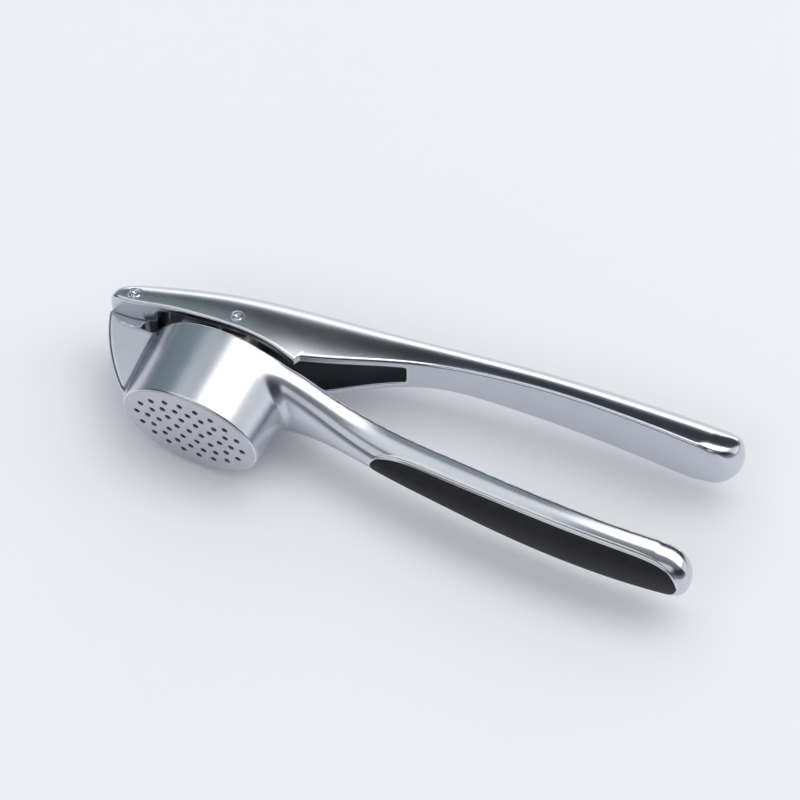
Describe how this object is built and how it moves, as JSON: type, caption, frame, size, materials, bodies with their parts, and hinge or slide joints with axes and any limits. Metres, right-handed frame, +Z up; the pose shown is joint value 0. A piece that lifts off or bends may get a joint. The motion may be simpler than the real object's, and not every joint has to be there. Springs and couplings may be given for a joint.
{
  "type": "garlic press",
  "caption": "Hand-held garlic press lying on its side: oval chamber with a sieve, hinged upper arm with a swinging plunger, and a soft grip inlay in the lower handle.",
  "frame": {"origin": "centre of the bounding box, at its bottom, on the surface that the press lies on", "axes": "+Z up, along the pins; +X along the arms from the hinge to the handle tips; +Y from the sieve towards the upper arm"},
  "size_m": [0.1852, 0.0624, 0.0346],
  "materials": {
    "satin_metal": "satin chrome plating on a zinc alloy casting",
    "plunger_metal": "matt plated zinc alloy casting",
    "pin_steel": "polished steel pins with rounded ends",
    "soft_grip": "matt black thermoplastic rubber with a fine moulded texture"
  },
  "bodies": {
    "lower": {"lower_arm": "satin_metal", "grip_inlay": "soft_grip"},
    "upper": {"upper_arm": "satin_metal", "hinge_pin": "pin_steel", "plunger_pin": "pin_steel"},
    "plunger": {"plunger": "plunger_metal"}
  },
  "joints": [
    {"name": "hinge", "type": "hinge", "parent": "lower", "child": "upper", "pos_m": [-0.08565, -0.00245, 0.0173], "axis": [0, 0, 1], "range_deg": [-3, 65]},
    {"name": "plunger_swing", "type": "hinge", "parent": "upper", "child": "plunger", "pos_m": [-0.05555, 0.00255, 0.0173], "axis": [0, 0, 1], "range_deg": [-34.95, 2.09]}
  ],
  "couplings": [
    {"joint": "plunger_swing", "follows": "hinge", "ratio": -0.53}
  ]
}
